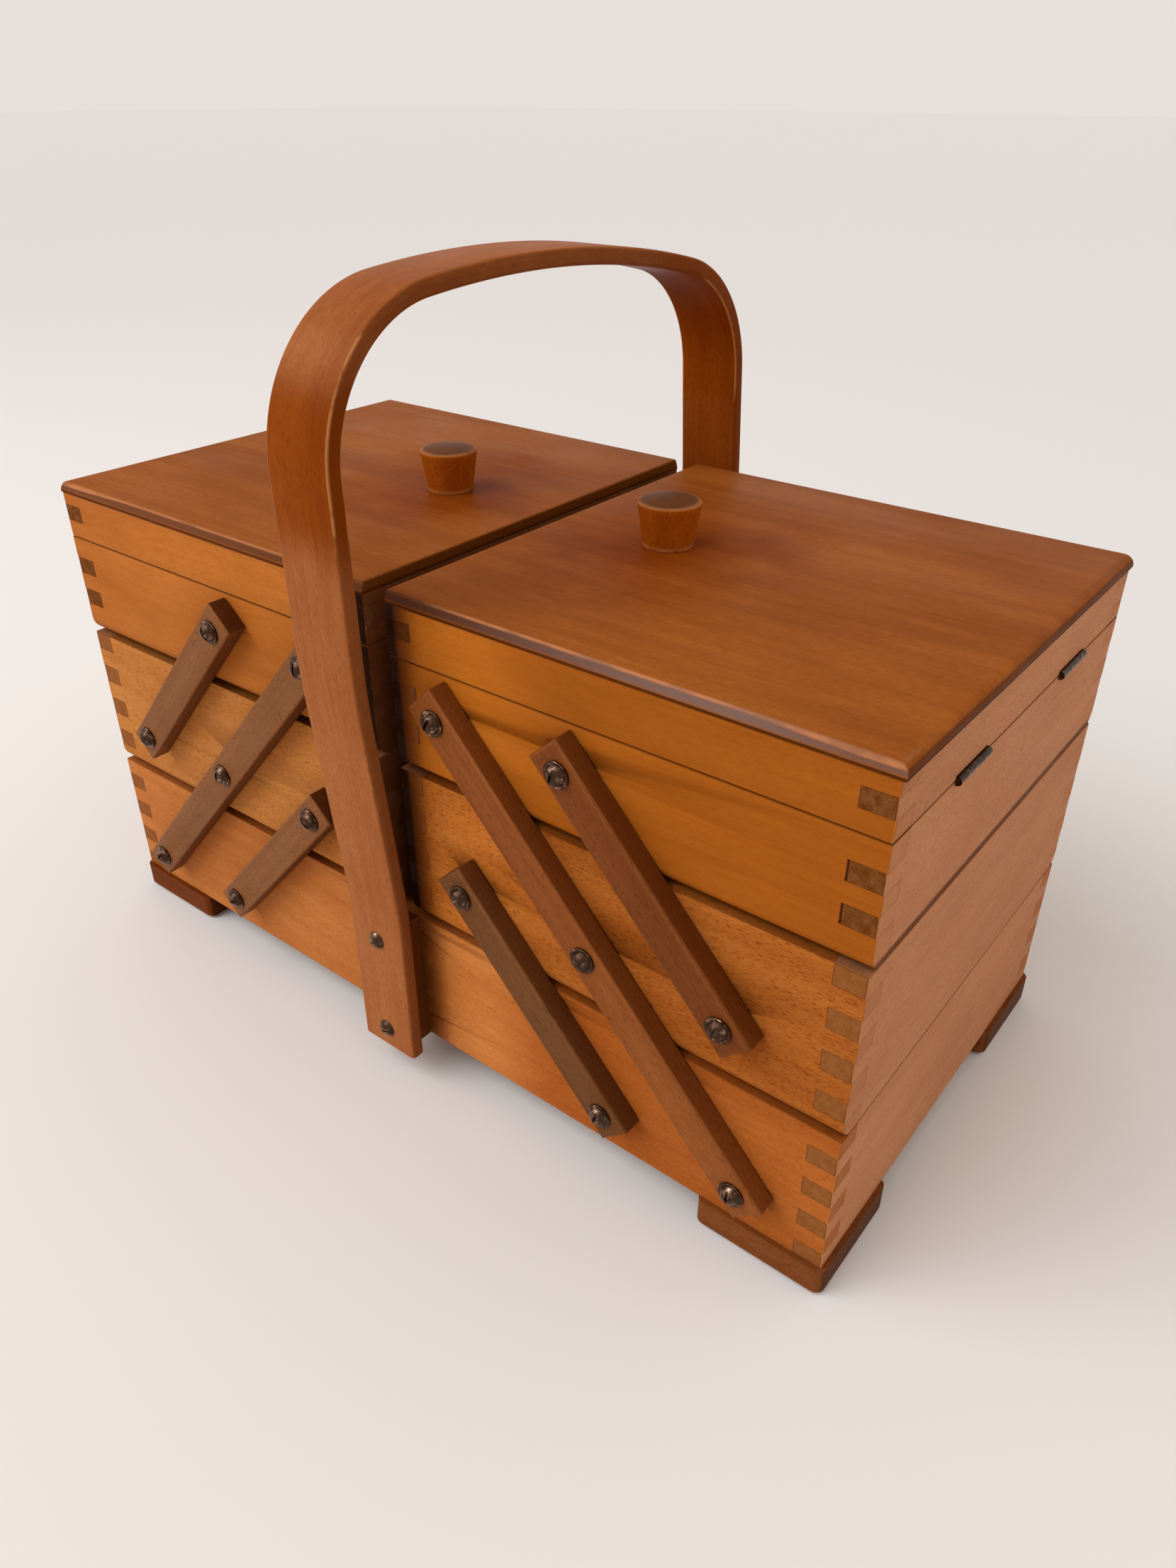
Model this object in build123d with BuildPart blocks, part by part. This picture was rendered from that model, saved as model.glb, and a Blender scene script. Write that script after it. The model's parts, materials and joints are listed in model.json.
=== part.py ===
from build123d import *
from math import asin, atan2, cos, degrees, hypot, radians, sin, sqrt
import os

# A cantilever sewing carrier: one long base box, and on it two swinging halves,
# each a middle tray, an upper tray and a hinged lid. Parallel arms on the front and
# rear faces carry each half outwards. A bent hoop handle is screwed to the base.
# Millimetres. X runs along the carrier, the front faces -Y, the floor is at Z = 0.

# ---------------------------------------------------------------- box work
carrier_length = 420.0
carrier_depth = 208.0
halves_gap = 12.0            # between the two swinging halves
board = 12.0                 # side and end boards of every tier
bottom_board = 4.0           # plywood let in flush between the boards
foot_height = 14.0
base_height = 67.5
middle_height = 73.0
upper_height = 48.5
lid_rim_height = 21.0
lid_top_board = 5.0
seam_gap = 0.3               # clearance between two tiers that rest on each other
tray_edge_round = 7.0        # lower long edges of the trays
lid_bevel_down = 4.0         # steep bevels along the front and rear of the lid's top board
lid_bevel_in = 1.5
lid_end_overhang = 1.0       # past the hinged end
lid_end_round = 4.0          # its edge over the hinges
lid_inner_round = 1.0        # its edge at the gap
divider_board = 5.0
divider_height = 32.0

# fingers of the end boards, from the top of each tier down
base_finger_count = 8        # side and end fingers together, all of one width
middle_finger_count = 8
upper_first_finger = 9.9     # side board above the first end-board finger
upper_finger = 8.0
upper_finger_slack = 0.8     # the upper trays' notches are this much deeper than their fingers
lid_first_finger = 5.5
lid_finger = 7.6

# ---------------------------------------------------------------- corner feet
foot_length = 56.0
foot_width = 54.0
foot_overhang = 2.0          # past the faces of the base box
foot_corner = 4.0
foot_toe = 2.0               # bevel round the sole

# ---------------------------------------------------------------- swing arms
arm_width = 16.0
arm_thickness = 9.0
arm_overhang = 10.5          # from the outer pivots to the square ends
arm_edge = 0.8
swing_reach = 69.5           # how far the lower pivots stand outside the middle ones
long_arm_base_x = 175.5
lower_arm_base_x = 114.5
upper_arm_middle_x = 164.5
base_pivot_height = 25.0     # above the underside of each tier
middle_pivot_height = 32.2
upper_pivot_height = 33.9

# ---------------------------------------------------------------- screws and washers
shank_radius = 2.0
shank_clearance = 0.08       # arm hole round its own pivot screw
open_pivot_clearance = 0.3   # arm hole round the screw of the tray that it only follows
screw_grip = 9.0             # length in the board
screw_head_radius = 4.2
screw_head_height = 3.0
washer_radius = 5.3
washer_thickness = 1.0
pivot_play = 0.1             # between an arm and its washers
arm_stand_off = 0.6          # between an arm and the boards

# ---------------------------------------------------------------- handle
handle_width = 31.0
handle_thickness = 6.7
handle_edge = 1.6            # bevel along its four edges
handle_spacer = 10.5
handle_spacer_width = 18.6   # the blocks behind the legs are narrower than they are
handle_foot = 78.0           # straight foot of each leg
handle_flare = 9.4           # the legs spring this far outwards past the trays
handle_flare_height = 106.0  # in this height above their feet
handle_front_lean = 0.5      # outward lean of the front leg above the flare, degrees
handle_rear_lean = -4.5      # the rear leg leans inwards
handle_low_bend = 200.0      # bends at the two ends of the flare
handle_high_bend = 350.0
handle_shoulder = 57.8       # outer radius of the bend at each shoulder
handle_crown = 488.0         # outer radius of the crown
handle_top = 322.2           # crown, above the base's underside
handle_crown_forward = 28.0  # its highest point, in front of the middle
handle_lower_screw = 10.2    # screw heights above the base's underside
handle_upper_screw = 60.8
handle_screw_head_radius = 4.2
handle_screw_head_height = 2.8

# ---------------------------------------------------------------- knobs and hinges
knob_x = 60.0
knob_base_radius = 10.3
knob_top_radius = 12.8
knob_height = 19.5
knob_dome = 1.4
knob_rim = 1.0               # bevel round the top
knob_screw_radius = 2.0
knob_screw_depth = 12.0      # into the knob
knob_screw_head_radius = 4.0
knob_screw_head_height = 2.0
hinge_y = 47.0
hinge_length = 25.0
hinge_middle_knuckle = 10.0
hinge_leaf_width = 10.0      # from the inner edge to the face of the end boards
hinge_leaf = 1.0
hinge_stand_out = 0.5        # pin's axis outside that face
barrel_radius = 1.6
barrel_clearance = 0.25      # of the groove that the barrel is sunk in
hinge_pin_radius = 0.8
hinge_pin_clearance = 0.05
knuckle_gap = 0.2

# ---------------------------------------------------------------- worked-out places
half_length = carrier_length / 2
half_depth = carrier_depth / 2
inner_x = halves_gap / 2
half_span = half_length - inner_x
half_centre_x = (half_length + inner_x) / 2
inside_depth = carrier_depth - 2 * board

base_z = foot_height
middle_z = base_z + base_height + seam_gap
upper_z = middle_z + middle_height + seam_gap
lid_z = upper_z + upper_height + seam_gap
lid_board_z = lid_z + lid_rim_height
top_z = lid_board_z + lid_top_board

base_pivot_z = base_z + base_pivot_height
middle_pivot_z = middle_z + middle_pivot_height
upper_pivot_z = upper_z + upper_pivot_height
lower_rise = middle_pivot_z - base_pivot_z
upper_rise = upper_pivot_z - middle_pivot_z
upper_reach = swing_reach * upper_rise / lower_rise      # keeps the long arm straight
arm_lean = degrees(atan2(swing_reach, lower_rise))       # arms lean this far when closed

long_base = (long_arm_base_x, base_pivot_z)
long_middle = (long_arm_base_x - swing_reach, middle_pivot_z)
long_upper = (long_arm_base_x - swing_reach - upper_reach, upper_pivot_z)
lower_base = (lower_arm_base_x, base_pivot_z)
lower_middle = (lower_arm_base_x - swing_reach, middle_pivot_z)
upper_middle = (upper_arm_middle_x, middle_pivot_z)
upper_upper = (upper_arm_middle_x - upper_reach, upper_pivot_z)

base_fingers = (base_height / base_finger_count, base_height / base_finger_count)
middle_fingers = (0.0, middle_height / middle_finger_count)
upper_fingers = (upper_first_finger, upper_finger)
lid_fingers = (lid_first_finger, lid_finger)

front_plane = Plane.XZ.offset(half_depth)
arm_face = arm_stand_off + arm_thickness                 # outer face of the arms
washer_seat = arm_face + pivot_play
screw_head_seat = washer_seat + washer_thickness
handle_face = handle_spacer + handle_thickness
hinge_axis_x = half_length + hinge_stand_out
hinge_axis_z = lid_z - seam_gap / 2
hinge_groove_radius = barrel_radius + barrel_clearance

os.makedirs("parts", exist_ok=True)


def write(piece, name):
    piece.label = name
    export_step(piece, f"parts/{name}.step")


def write_both_halves(piece, name):
    """A piece of the right half, and its mirror image for the left half."""
    write(piece, f"right_{name}")
    with BuildPart() as left:
        mirror(piece, about=Plane.YZ)
    write(left.part, f"left_{name}")


def finger_bands(tier_z, height, fingers):
    """Middle height and width of each end-board finger of a tier, as many as it has room for."""
    start, width = fingers
    count = int(round((height - start + width) / (2 * width), 6))
    tops = [tier_z + height - start - 2 * width * number for number in range(count)]
    return [(top - width / 2, width) for top in tops]


def side_board(x_low, x_high, tier_z, height, fingers, screws=(), edge_round=0.0, slack=0.0):
    """Front board of a tier: its ends are notched for the end boards' fingers."""
    notch = board + slack
    with BuildPart() as side:
        with BuildSketch(front_plane):
            with Locations(((x_low + x_high) / 2, tier_z + height / 2)):
                Rectangle(x_high - x_low, height)
            for finger_z, width in finger_bands(tier_z, height, fingers):
                with Locations((x_low + notch / 2, finger_z), (x_high - notch / 2, finger_z)):
                    Rectangle(notch, width, mode=Mode.SUBTRACT)
        extrude(amount=-board)
        if edge_round:
            lower_edges = side.edges().filter_by(Axis.X).group_by(Axis.Z)[0]
            fillet(lower_edges.sort_by(Axis.Y)[0], radius=edge_round)
        if screws:
            with BuildSketch(front_plane):
                with Locations(*screws):
                    Circle(shank_radius)
            extrude(amount=-screw_grip, mode=Mode.SUBTRACT)
    return side.part


def end_board(x_low, tier_z, height, fingers):
    """End board of a tier: fingers at both ends reach the outer faces of the side boards."""
    with BuildPart() as end:
        with BuildSketch(Plane.YZ.offset(x_low)):
            with Locations((0, tier_z + height / 2)):
                Rectangle(inside_depth, height)
            for finger_z, width in finger_bands(tier_z, height, fingers):
                with Locations((0, finger_z)):
                    Rectangle(carrier_depth, width)
        extrude(amount=board)
    return end.part


def bottom_panel(x_low, x_high, tier_z):
    with BuildPart() as bottom:
        with BuildSketch(Plane.XY.offset(tier_z)):
            with Locations(((x_low + x_high) / 2, 0)):
                Rectangle(x_high - x_low - 2 * board, inside_depth)
        extrude(amount=bottom_board)
    return bottom.part


def rear_copy(piece):
    with BuildPart() as rear:
        mirror(piece, about=Plane.XZ)
    return rear.part


def front_and_rear(piece):
    """A piece of the front face together with its twin on the rear face, as two solids."""
    with BuildPart() as pair:
        add(piece)
        mirror(piece, about=Plane.XZ)
    return pair.part


# ================================================================ base box
base_right_screws = [long_base, lower_base]
base_screws = base_right_screws + [(-x, z) for x, z in base_right_screws]
handle_screw_points = [(0, base_z + handle_lower_screw), (0, base_z + handle_upper_screw)]
base_front = side_board(-half_length, half_length, base_z, base_height, base_fingers,
                        base_screws + handle_screw_points)
write(base_front, "base_front_board")
write(rear_copy(base_front), "base_rear_board")
base_end = end_board(half_length - board, base_z, base_height, base_fingers)
write_both_halves(base_end, "base_end")
write(bottom_panel(-half_length, half_length, base_z), "base_bottom")

with BuildPart() as feet:
    foot_x = half_length + foot_overhang - foot_length / 2
    foot_y = half_depth + foot_overhang - foot_width / 2
    with BuildSketch():
        with GridLocations(2 * foot_x, 2 * foot_y, 2, 2):
            RectangleRounded(foot_length, foot_width, foot_corner)
    extrude(amount=foot_height)
    chamfer(feet.edges().group_by(Axis.Z)[0], length=foot_toe)
write(feet.part, "corner_feet")

# ================================================================ middle trays
middle_screws = [long_middle, lower_middle, upper_middle]
middle_front = side_board(inner_x, half_length, middle_z, middle_height, middle_fingers,
                          middle_screws, tray_edge_round)
write_both_halves(middle_front, "middle_front_board")
write_both_halves(rear_copy(middle_front), "middle_rear_board")
write_both_halves(end_board(inner_x, middle_z, middle_height, middle_fingers), "middle_inner_end")
write_both_halves(end_board(half_length - board, middle_z, middle_height, middle_fingers),
                  "middle_outer_end")
write_both_halves(bottom_panel(inner_x, half_length, middle_z), "middle_bottom")

# ================================================================ upper trays
upper_screws = [long_upper, upper_upper]
upper_front = side_board(inner_x, half_length, upper_z, upper_height, upper_fingers,
                         upper_screws, tray_edge_round, upper_finger_slack)
write_both_halves(upper_front, "upper_front_board")
write_both_halves(rear_copy(upper_front), "upper_rear_board")
write_both_halves(end_board(inner_x, upper_z, upper_height, upper_fingers), "upper_inner_end")
write_both_halves(bottom_panel(inner_x, half_length, upper_z), "upper_bottom")

with BuildPart() as divider:
    with BuildSketch(Plane.XY.offset(upper_z + bottom_board)):
        with Locations((half_centre_x, 0)):
            Rectangle(divider_board, inside_depth)
    extrude(amount=divider_height)
write_both_halves(divider.part, "upper_divider")


def cut_for_hinges(board_part, seat_z):
    """The board with a shallow seat for each hinge leaf and a groove for each barrel."""
    with BuildPart() as seated:
        add(board_part)
        with BuildSketch(Plane.XY.offset(seat_z)):
            with Locations((half_length - hinge_leaf_width / 2, -hinge_y),
                           (half_length - hinge_leaf_width / 2, hinge_y)):
                Rectangle(hinge_leaf_width, hinge_length)
        extrude(amount=hinge_leaf, mode=Mode.SUBTRACT)
        for hinge in (-hinge_y, hinge_y):
            with BuildSketch(Plane.XZ.offset(-hinge)):
                with Locations((hinge_axis_x, hinge_axis_z)):
                    Circle(hinge_groove_radius)
            extrude(amount=hinge_length / 2 + barrel_clearance, both=True, mode=Mode.SUBTRACT)
    return seated.part


upper_outer_end = end_board(half_length - board, upper_z, upper_height, upper_fingers)
write_both_halves(cut_for_hinges(upper_outer_end, upper_z + upper_height - hinge_leaf),
                  "upper_outer_end")

# ================================================================ lids
lid_front = side_board(inner_x, half_length, lid_z, lid_rim_height, lid_fingers)
write_both_halves(front_and_rear(lid_front), "lid_rim_sides")
lid_outer_end = end_board(half_length - board, lid_z, lid_rim_height, lid_fingers)
with BuildPart() as lid_ends:
    add(cut_for_hinges(lid_outer_end, lid_z))
    add(end_board(inner_x, lid_z, lid_rim_height, lid_fingers))
write_both_halves(lid_ends.part, "lid_rim_ends")

with BuildPart() as lid_top:
    with BuildSketch(Plane.YZ.offset(inner_x)):
        with BuildLine():
            Polyline((-half_depth, lid_board_z), (half_depth, lid_board_z),
                     (half_depth, top_z - lid_bevel_down), (half_depth - lid_bevel_in, top_z),
                     (lid_bevel_in - half_depth, top_z), (-half_depth, top_z - lid_bevel_down),
                     close=True)
        make_face()
    extrude(amount=half_span + lid_end_overhang)
    with BuildSketch(Plane.XZ) as lid_long_section:
        with Locations((half_centre_x + lid_end_overhang / 2, lid_board_z + lid_top_board / 2)):
            Rectangle(half_span + lid_end_overhang, lid_top_board)
        gap_corner = lid_long_section.vertices().group_by(Axis.Y)[-1].sort_by(Axis.X)[0]
        fillet(gap_corner, radius=lid_inner_round)
        end_corner = lid_long_section.vertices().group_by(Axis.X)[-1].sort_by(Axis.Y)[-1]
        fillet(end_corner, radius=lid_end_round)
    extrude(amount=half_depth, both=True, mode=Mode.INTERSECT)
    with BuildSketch(Plane.XY.offset(lid_board_z)):
        with Locations((knob_x, 0)):
            Circle(knob_screw_radius)
    extrude(amount=lid_top_board, mode=Mode.SUBTRACT)
write_both_halves(lid_top.part, "lid_top_board")

# ================================================================ knobs
def cap_above(rim_radius, rim_height, rise):
    """Arc of a domed cap centred on the axis, from its top down to its rim."""
    cap_radius = (rim_radius ** 2 + rise ** 2) / (2 * rise)
    return CenterArc((0, rim_height + rise - cap_radius), cap_radius, 90,
                     -degrees(asin(rim_radius / cap_radius)))


def screw_section(head_radius, head_height, length):
    """Half section of a roundhead screw whose head stands on Z = 0, its shank below it."""
    with BuildSketch(Plane.XZ) as section:
        with BuildLine():
            cap = cap_above(head_radius, 0, head_height)
            Polyline(cap @ 1, (shank_radius, 0), (shank_radius, -length), (0, -length), cap @ 0)
        make_face()
    return section.sketch


with BuildPart() as knob:
    with BuildSketch(Plane.XZ):
        with BuildLine():
            crown = cap_above(knob_top_radius - knob_rim, knob_height - knob_dome, knob_dome)
            Polyline(crown @ 1, (knob_top_radius, knob_height - knob_dome - knob_rim),
                     (knob_base_radius, 0), (0, 0), crown @ 0)
        make_face()
    revolve(axis=Axis.Z)
    with BuildSketch():
        Circle(knob_screw_radius)
    extrude(amount=knob_screw_depth, mode=Mode.SUBTRACT)

with BuildPart() as knob_screw:
    with BuildSketch():
        Circle(knob_screw_radius)
    extrude(amount=lid_top_board + knob_screw_depth)
    with BuildSketch(Plane.XY.offset(-knob_screw_head_height)):
        Circle(knob_screw_head_radius)
    extrude(amount=knob_screw_head_height)

with BuildPart() as placed_knob:
    with Locations((knob_x, 0, top_z)):
        add(knob.part)
write_both_halves(placed_knob.part, "knob")
with BuildPart() as placed_knob_screw:
    with Locations((knob_x, 0, lid_board_z)):
        add(knob_screw.part)
write_both_halves(placed_knob_screw.part, "knob_screw")

# ================================================================ hinges
knuckle_bore = hinge_pin_radius + hinge_pin_clearance
middle_knuckle = hinge_middle_knuckle / 2
leaf_inner_x = half_length - hinge_leaf_width
leaf_outer_x = hinge_axis_x - hinge_groove_radius
tongue_outer_x = hinge_axis_x - knuckle_bore - knuckle_gap
tray_knuckle_length = hinge_length / 2 - middle_knuckle - knuckle_gap
tray_knuckle_y = hinge_length / 2 - tray_knuckle_length / 2


def hinge_leaf_pair(leaf_z, knuckle_places, knuckle_length, bore):
    """Two leaves at one height: a plate in the board's seat, its tongues and their knuckles."""
    with BuildPart() as leaves:
        with BuildSketch(Plane.XY.offset(leaf_z)):
            for hinge in (-hinge_y, hinge_y):
                with Locations(((leaf_inner_x + leaf_outer_x) / 2, hinge)):
                    Rectangle(leaf_outer_x - leaf_inner_x, hinge_length)
                for place in knuckle_places:
                    with Locations(((leaf_outer_x + tongue_outer_x) / 2, hinge + place)):
                        Rectangle(tongue_outer_x - leaf_outer_x, knuckle_length)
        extrude(amount=hinge_leaf)
        for hinge in (-hinge_y, hinge_y):
            for place in knuckle_places:
                with BuildSketch(Plane.XZ.offset(-(hinge + place + knuckle_length / 2))):
                    with Locations((hinge_axis_x, hinge_axis_z)):
                        Circle(barrel_radius)
                extrude(amount=knuckle_length)
                with BuildSketch(Plane.XZ.offset(-(hinge + place + knuckle_length / 2))):
                    with Locations((hinge_axis_x, hinge_axis_z)):
                        Circle(bore)
                extrude(amount=knuckle_length, mode=Mode.SUBTRACT)
    return leaves.part


tray_leaves = hinge_leaf_pair(upper_z + upper_height - hinge_leaf,
                              (-tray_knuckle_y, tray_knuckle_y), tray_knuckle_length,
                              hinge_pin_radius)
write_both_halves(tray_leaves, "hinge_tray_leaves")
lid_leaves = hinge_leaf_pair(lid_z, (0,), hinge_middle_knuckle, knuckle_bore)
write_both_halves(lid_leaves, "hinge_lid_leaves")

with BuildPart() as hinge_pins:
    for hinge in (-hinge_y, hinge_y):
        with BuildSketch(Plane.XZ.offset(-(hinge + hinge_length / 2))):
            with Locations((hinge_axis_x, hinge_axis_z)):
                Circle(hinge_pin_radius)
        extrude(amount=hinge_length)
write_both_halves(hinge_pins.part, "hinge_pins")


# ================================================================ arms
def arm_pair(low_end, high_end, screws, clearances):
    """Square-ended bars on the front and rear faces, bored for their pivot screws."""
    run = (high_end[0] - low_end[0], high_end[1] - low_end[1])
    centre = ((low_end[0] + high_end[0]) / 2, (low_end[1] + high_end[1]) / 2)
    turn = degrees(atan2(run[1], run[0]))
    inner_face = Plane.XZ.offset(half_depth + arm_stand_off)
    with BuildPart() as arm:
        with BuildSketch(inner_face):
            with Locations(Location((*centre, 0), (0, 0, turn))):
                Rectangle(hypot(*run) + 2 * arm_overhang, arm_width)
        extrude(amount=arm_thickness)
        chamfer(arm.edges().group_by(Axis.Y)[0], length=arm_edge)
        for place, clearance in zip(screws, clearances):
            with BuildSketch(inner_face):
                with Locations(place):
                    Circle(shank_radius + clearance)
            extrude(amount=arm_thickness, mode=Mode.SUBTRACT)
    return front_and_rear(arm.part)


write_both_halves(arm_pair(long_base, long_upper, (long_base, long_middle, long_upper),
                           (shank_clearance,) * 3), "long_arms")
write_both_halves(arm_pair(lower_base, lower_middle, (lower_base, lower_middle),
                           (shank_clearance, open_pivot_clearance)), "lower_short_arms")
write_both_halves(arm_pair(upper_middle, upper_upper, (upper_middle, upper_upper),
                           (shank_clearance, open_pivot_clearance)), "upper_short_arms")


# ================================================================ screws and washers
with BuildPart() as pivot_screw:
    revolve(screw_section(screw_head_radius, screw_head_height, screw_head_seat + screw_grip),
            axis=Axis.Z)

with BuildPart() as washer:
    with BuildSketch():
        Circle(washer_radius)
        Circle(shank_radius, mode=Mode.SUBTRACT)
    extrude(amount=washer_thickness)

facing_front = (90, 0, 0)


def pivot_hardware(points):
    """Screws on the front and rear faces, each with a washer between its head and the arm."""
    with BuildPart() as front:
        for x, z in points:
            with Locations(Location((x, -half_depth - screw_head_seat, z), facing_front)):
                add(pivot_screw.part)
            with Locations(Location((x, -half_depth - washer_seat, z), facing_front)):
                add(washer.part)
    return front_and_rear(front.part)


write(pivot_hardware(base_screws), "base_pivot_screws")
write_both_halves(pivot_hardware(middle_screws), "middle_pivot_screws")
write_both_halves(pivot_hardware(upper_screws), "upper_pivot_screws")

# ================================================================ handle
handle_crown_z = base_z + handle_top - handle_thickness / 2
crown_radius = handle_crown - handle_thickness / 2
shoulder_radius = handle_shoulder - handle_thickness / 2
leg_y = half_depth + handle_spacer + handle_thickness / 2
flare_low = (leg_y, base_z + handle_foot)
flare_high = (leg_y + handle_flare, base_z + handle_foot + handle_flare_height)


def shoulder_places(leg_lean, crown_out):
    """Where a leaning leg meets its shoulder bend, the bend's middle, and where the crown begins.

    The bend touches the leg's line and the crown's circle, so its centre lies inside the
    line by its radius, and nearer the crown's centre than the crown by its radius.
    Places are distances out from the middle and heights; the crown's centre is crown_out out.
    """
    lean = radians(leg_lean)
    along = (sin(lean), cos(lean))
    start = (flare_high[0] - shoulder_radius * cos(lean),
             flare_high[1] + shoulder_radius * sin(lean))
    crown_centre_z = handle_crown_z - crown_radius
    offset = (start[0] - crown_out, start[1] - crown_centre_z)
    half_b = offset[0] * along[0] + offset[1] * along[1]
    rest = offset[0] ** 2 + offset[1] ** 2 - (crown_radius - shoulder_radius) ** 2
    climb = -half_b + sqrt(half_b ** 2 - rest)
    centre = (start[0] + climb * along[0], start[1] + climb * along[1])
    out = (cos(lean), -sin(lean))
    up_length = hypot(centre[0] - crown_out, centre[1] - crown_centre_z)
    up = ((centre[0] - crown_out) / up_length, (centre[1] - crown_centre_z) / up_length)
    mid_length = hypot(out[0] + up[0], out[1] + up[1])
    mid = ((out[0] + up[0]) / mid_length, (out[1] + up[1]) / mid_length)
    return [(centre[0] + shoulder_radius * way[0], centre[1] + shoulder_radius * way[1])
            for way in (out, mid, up)]


def in_front(place):
    return (-place[0], place[1])


front_top, front_shoulder, front_crown = [
    in_front(place) for place in shoulder_places(handle_front_lean, handle_crown_forward)]
rear_top, rear_shoulder, rear_crown = shoulder_places(handle_rear_lean, -handle_crown_forward)
foot_end = (leg_y, base_z)
with BuildPart() as handle_hoop:
    with BuildLine(Plane.YZ) as hoop_path:
        FilletPolyline(in_front(foot_end), in_front(flare_low), in_front(flare_high), front_top,
                       radius=[handle_low_bend, handle_high_bend])
        ThreePointArc(front_top, front_shoulder, front_crown)
        ThreePointArc(front_crown, (-handle_crown_forward, handle_crown_z), rear_crown)
        ThreePointArc(rear_crown, rear_shoulder, rear_top)
        FilletPolyline(rear_top, flare_high, flare_low, foot_end,
                       radius=[handle_high_bend, handle_low_bend])
    with BuildSketch(Plane.XY.offset(base_z)) as handle_section:
        with Locations((0, -leg_y)):
            Rectangle(handle_width, handle_thickness)
        chamfer(handle_section.vertices(), length=handle_edge)
    sweep(path=hoop_path.wires()[0])
    with BuildSketch(Plane.XZ):
        with Locations(*handle_screw_points):
            Circle(shank_radius)
    extrude(amount=half_depth + 2 * handle_face, both=True, mode=Mode.SUBTRACT)
write(handle_hoop.part, "handle_hoop")

with BuildPart() as spacer:
    with BuildSketch(front_plane):
        with Locations((0, base_z + base_height / 2)):
            Rectangle(handle_spacer_width, base_height)
        with Locations(*handle_screw_points):
            Circle(shank_radius, mode=Mode.SUBTRACT)
    extrude(amount=handle_spacer)
write(front_and_rear(spacer.part), "handle_spacers")

with BuildPart() as handle_screw:
    revolve(screw_section(handle_screw_head_radius, handle_screw_head_height,
                          handle_face + screw_grip), axis=Axis.Z)

with BuildPart() as handle_front_screws:
    for x, z in handle_screw_points:
        with Locations(Location((x, -half_depth - handle_face, z), facing_front)):
            add(handle_screw.part)
write(front_and_rear(handle_front_screws.part), "handle_screws")

print(f"arms lean {arm_lean:.3f} degrees when closed, carrier is {top_z:.1f} high to its lids")
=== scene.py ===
import json
from math import atan2, cos, pi, radians, sin, sqrt

import bmesh
import bpy
import numpy as np
from mathutils import Euler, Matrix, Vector

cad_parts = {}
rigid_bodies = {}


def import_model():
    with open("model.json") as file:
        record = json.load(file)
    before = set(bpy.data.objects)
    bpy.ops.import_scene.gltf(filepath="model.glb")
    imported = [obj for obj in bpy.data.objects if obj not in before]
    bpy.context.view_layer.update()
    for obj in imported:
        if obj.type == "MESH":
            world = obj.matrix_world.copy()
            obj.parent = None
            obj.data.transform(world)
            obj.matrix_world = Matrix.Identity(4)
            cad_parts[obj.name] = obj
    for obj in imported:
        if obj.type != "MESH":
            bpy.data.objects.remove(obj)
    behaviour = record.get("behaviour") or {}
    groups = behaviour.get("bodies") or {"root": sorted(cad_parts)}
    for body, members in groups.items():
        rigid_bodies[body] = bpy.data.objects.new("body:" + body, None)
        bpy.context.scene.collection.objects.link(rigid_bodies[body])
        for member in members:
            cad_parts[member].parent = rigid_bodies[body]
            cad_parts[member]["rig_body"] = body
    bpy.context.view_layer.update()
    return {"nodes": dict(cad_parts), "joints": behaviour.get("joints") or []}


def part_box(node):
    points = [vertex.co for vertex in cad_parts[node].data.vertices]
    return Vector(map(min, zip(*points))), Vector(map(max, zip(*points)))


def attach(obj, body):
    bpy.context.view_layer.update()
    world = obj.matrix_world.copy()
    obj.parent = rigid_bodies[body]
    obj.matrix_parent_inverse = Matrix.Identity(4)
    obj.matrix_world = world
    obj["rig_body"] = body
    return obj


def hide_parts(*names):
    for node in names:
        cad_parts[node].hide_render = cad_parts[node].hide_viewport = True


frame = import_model()

# A cantilever sewing carrier, dressed: boards with eased edges and wood figure that runs along
# each board, a bent hoop, turned knobs, slotted roundhead screws with washers, and hinge screws.
# Metres. X runs along the carrier, the front faces -Y, the floor is at Z = 0.
MM = 0.001
IN_MM = (1000, 1000, 1000)        # scale that turns metres into millimetres
SIDES = {"right": 1, "left": -1}

# ---------------------------------------------------------------- sizes
corner_ease = 0.45 * MM           # rounding of the outer corners of every box
rim_ease = 0.8 * MM               # rounding of the long edges of the lids' tops
arm_ease = 0.35 * MM              # rounding of the long edges of the arms and the blocks
ease_steps = 3
lid_long_edge = 30 * MM           # shortest edge of a lid's top that is rounded
arm_long_edge = 5 * MM            # and of an arm or a block, longer than the facets of a bore
joint_line = 0.2 * MM             # dark line round each finger's end

screw_head_radius = 4.2 * MM
screw_head_height = 3.0 * MM
slot_width = 1.1 * MM
slot_depth = 1.3 * MM
washer_radius = 5.3 * MM
washer_bore = 2.2 * MM
washer_thickness = 1.0 * MM
washer_ease = 0.2 * MM
handle_screw_radius = 4.2 * MM
handle_screw_height = 2.8 * MM
handle_slot_width = 0.88 * MM
handle_slot_depth = 0.91 * MM
leaf_screw_radius = 1.7 * MM
leaf_screw_height = 0.1 * MM
leaf_slot_width = 0.5 * MM
leaf_slot_depth = 0.08 * MM
leaf_screw_spacing = 8.0 * MM
leaf_screw_inset = 4.5 * MM
hinge_length = 25.0 * MM

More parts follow.
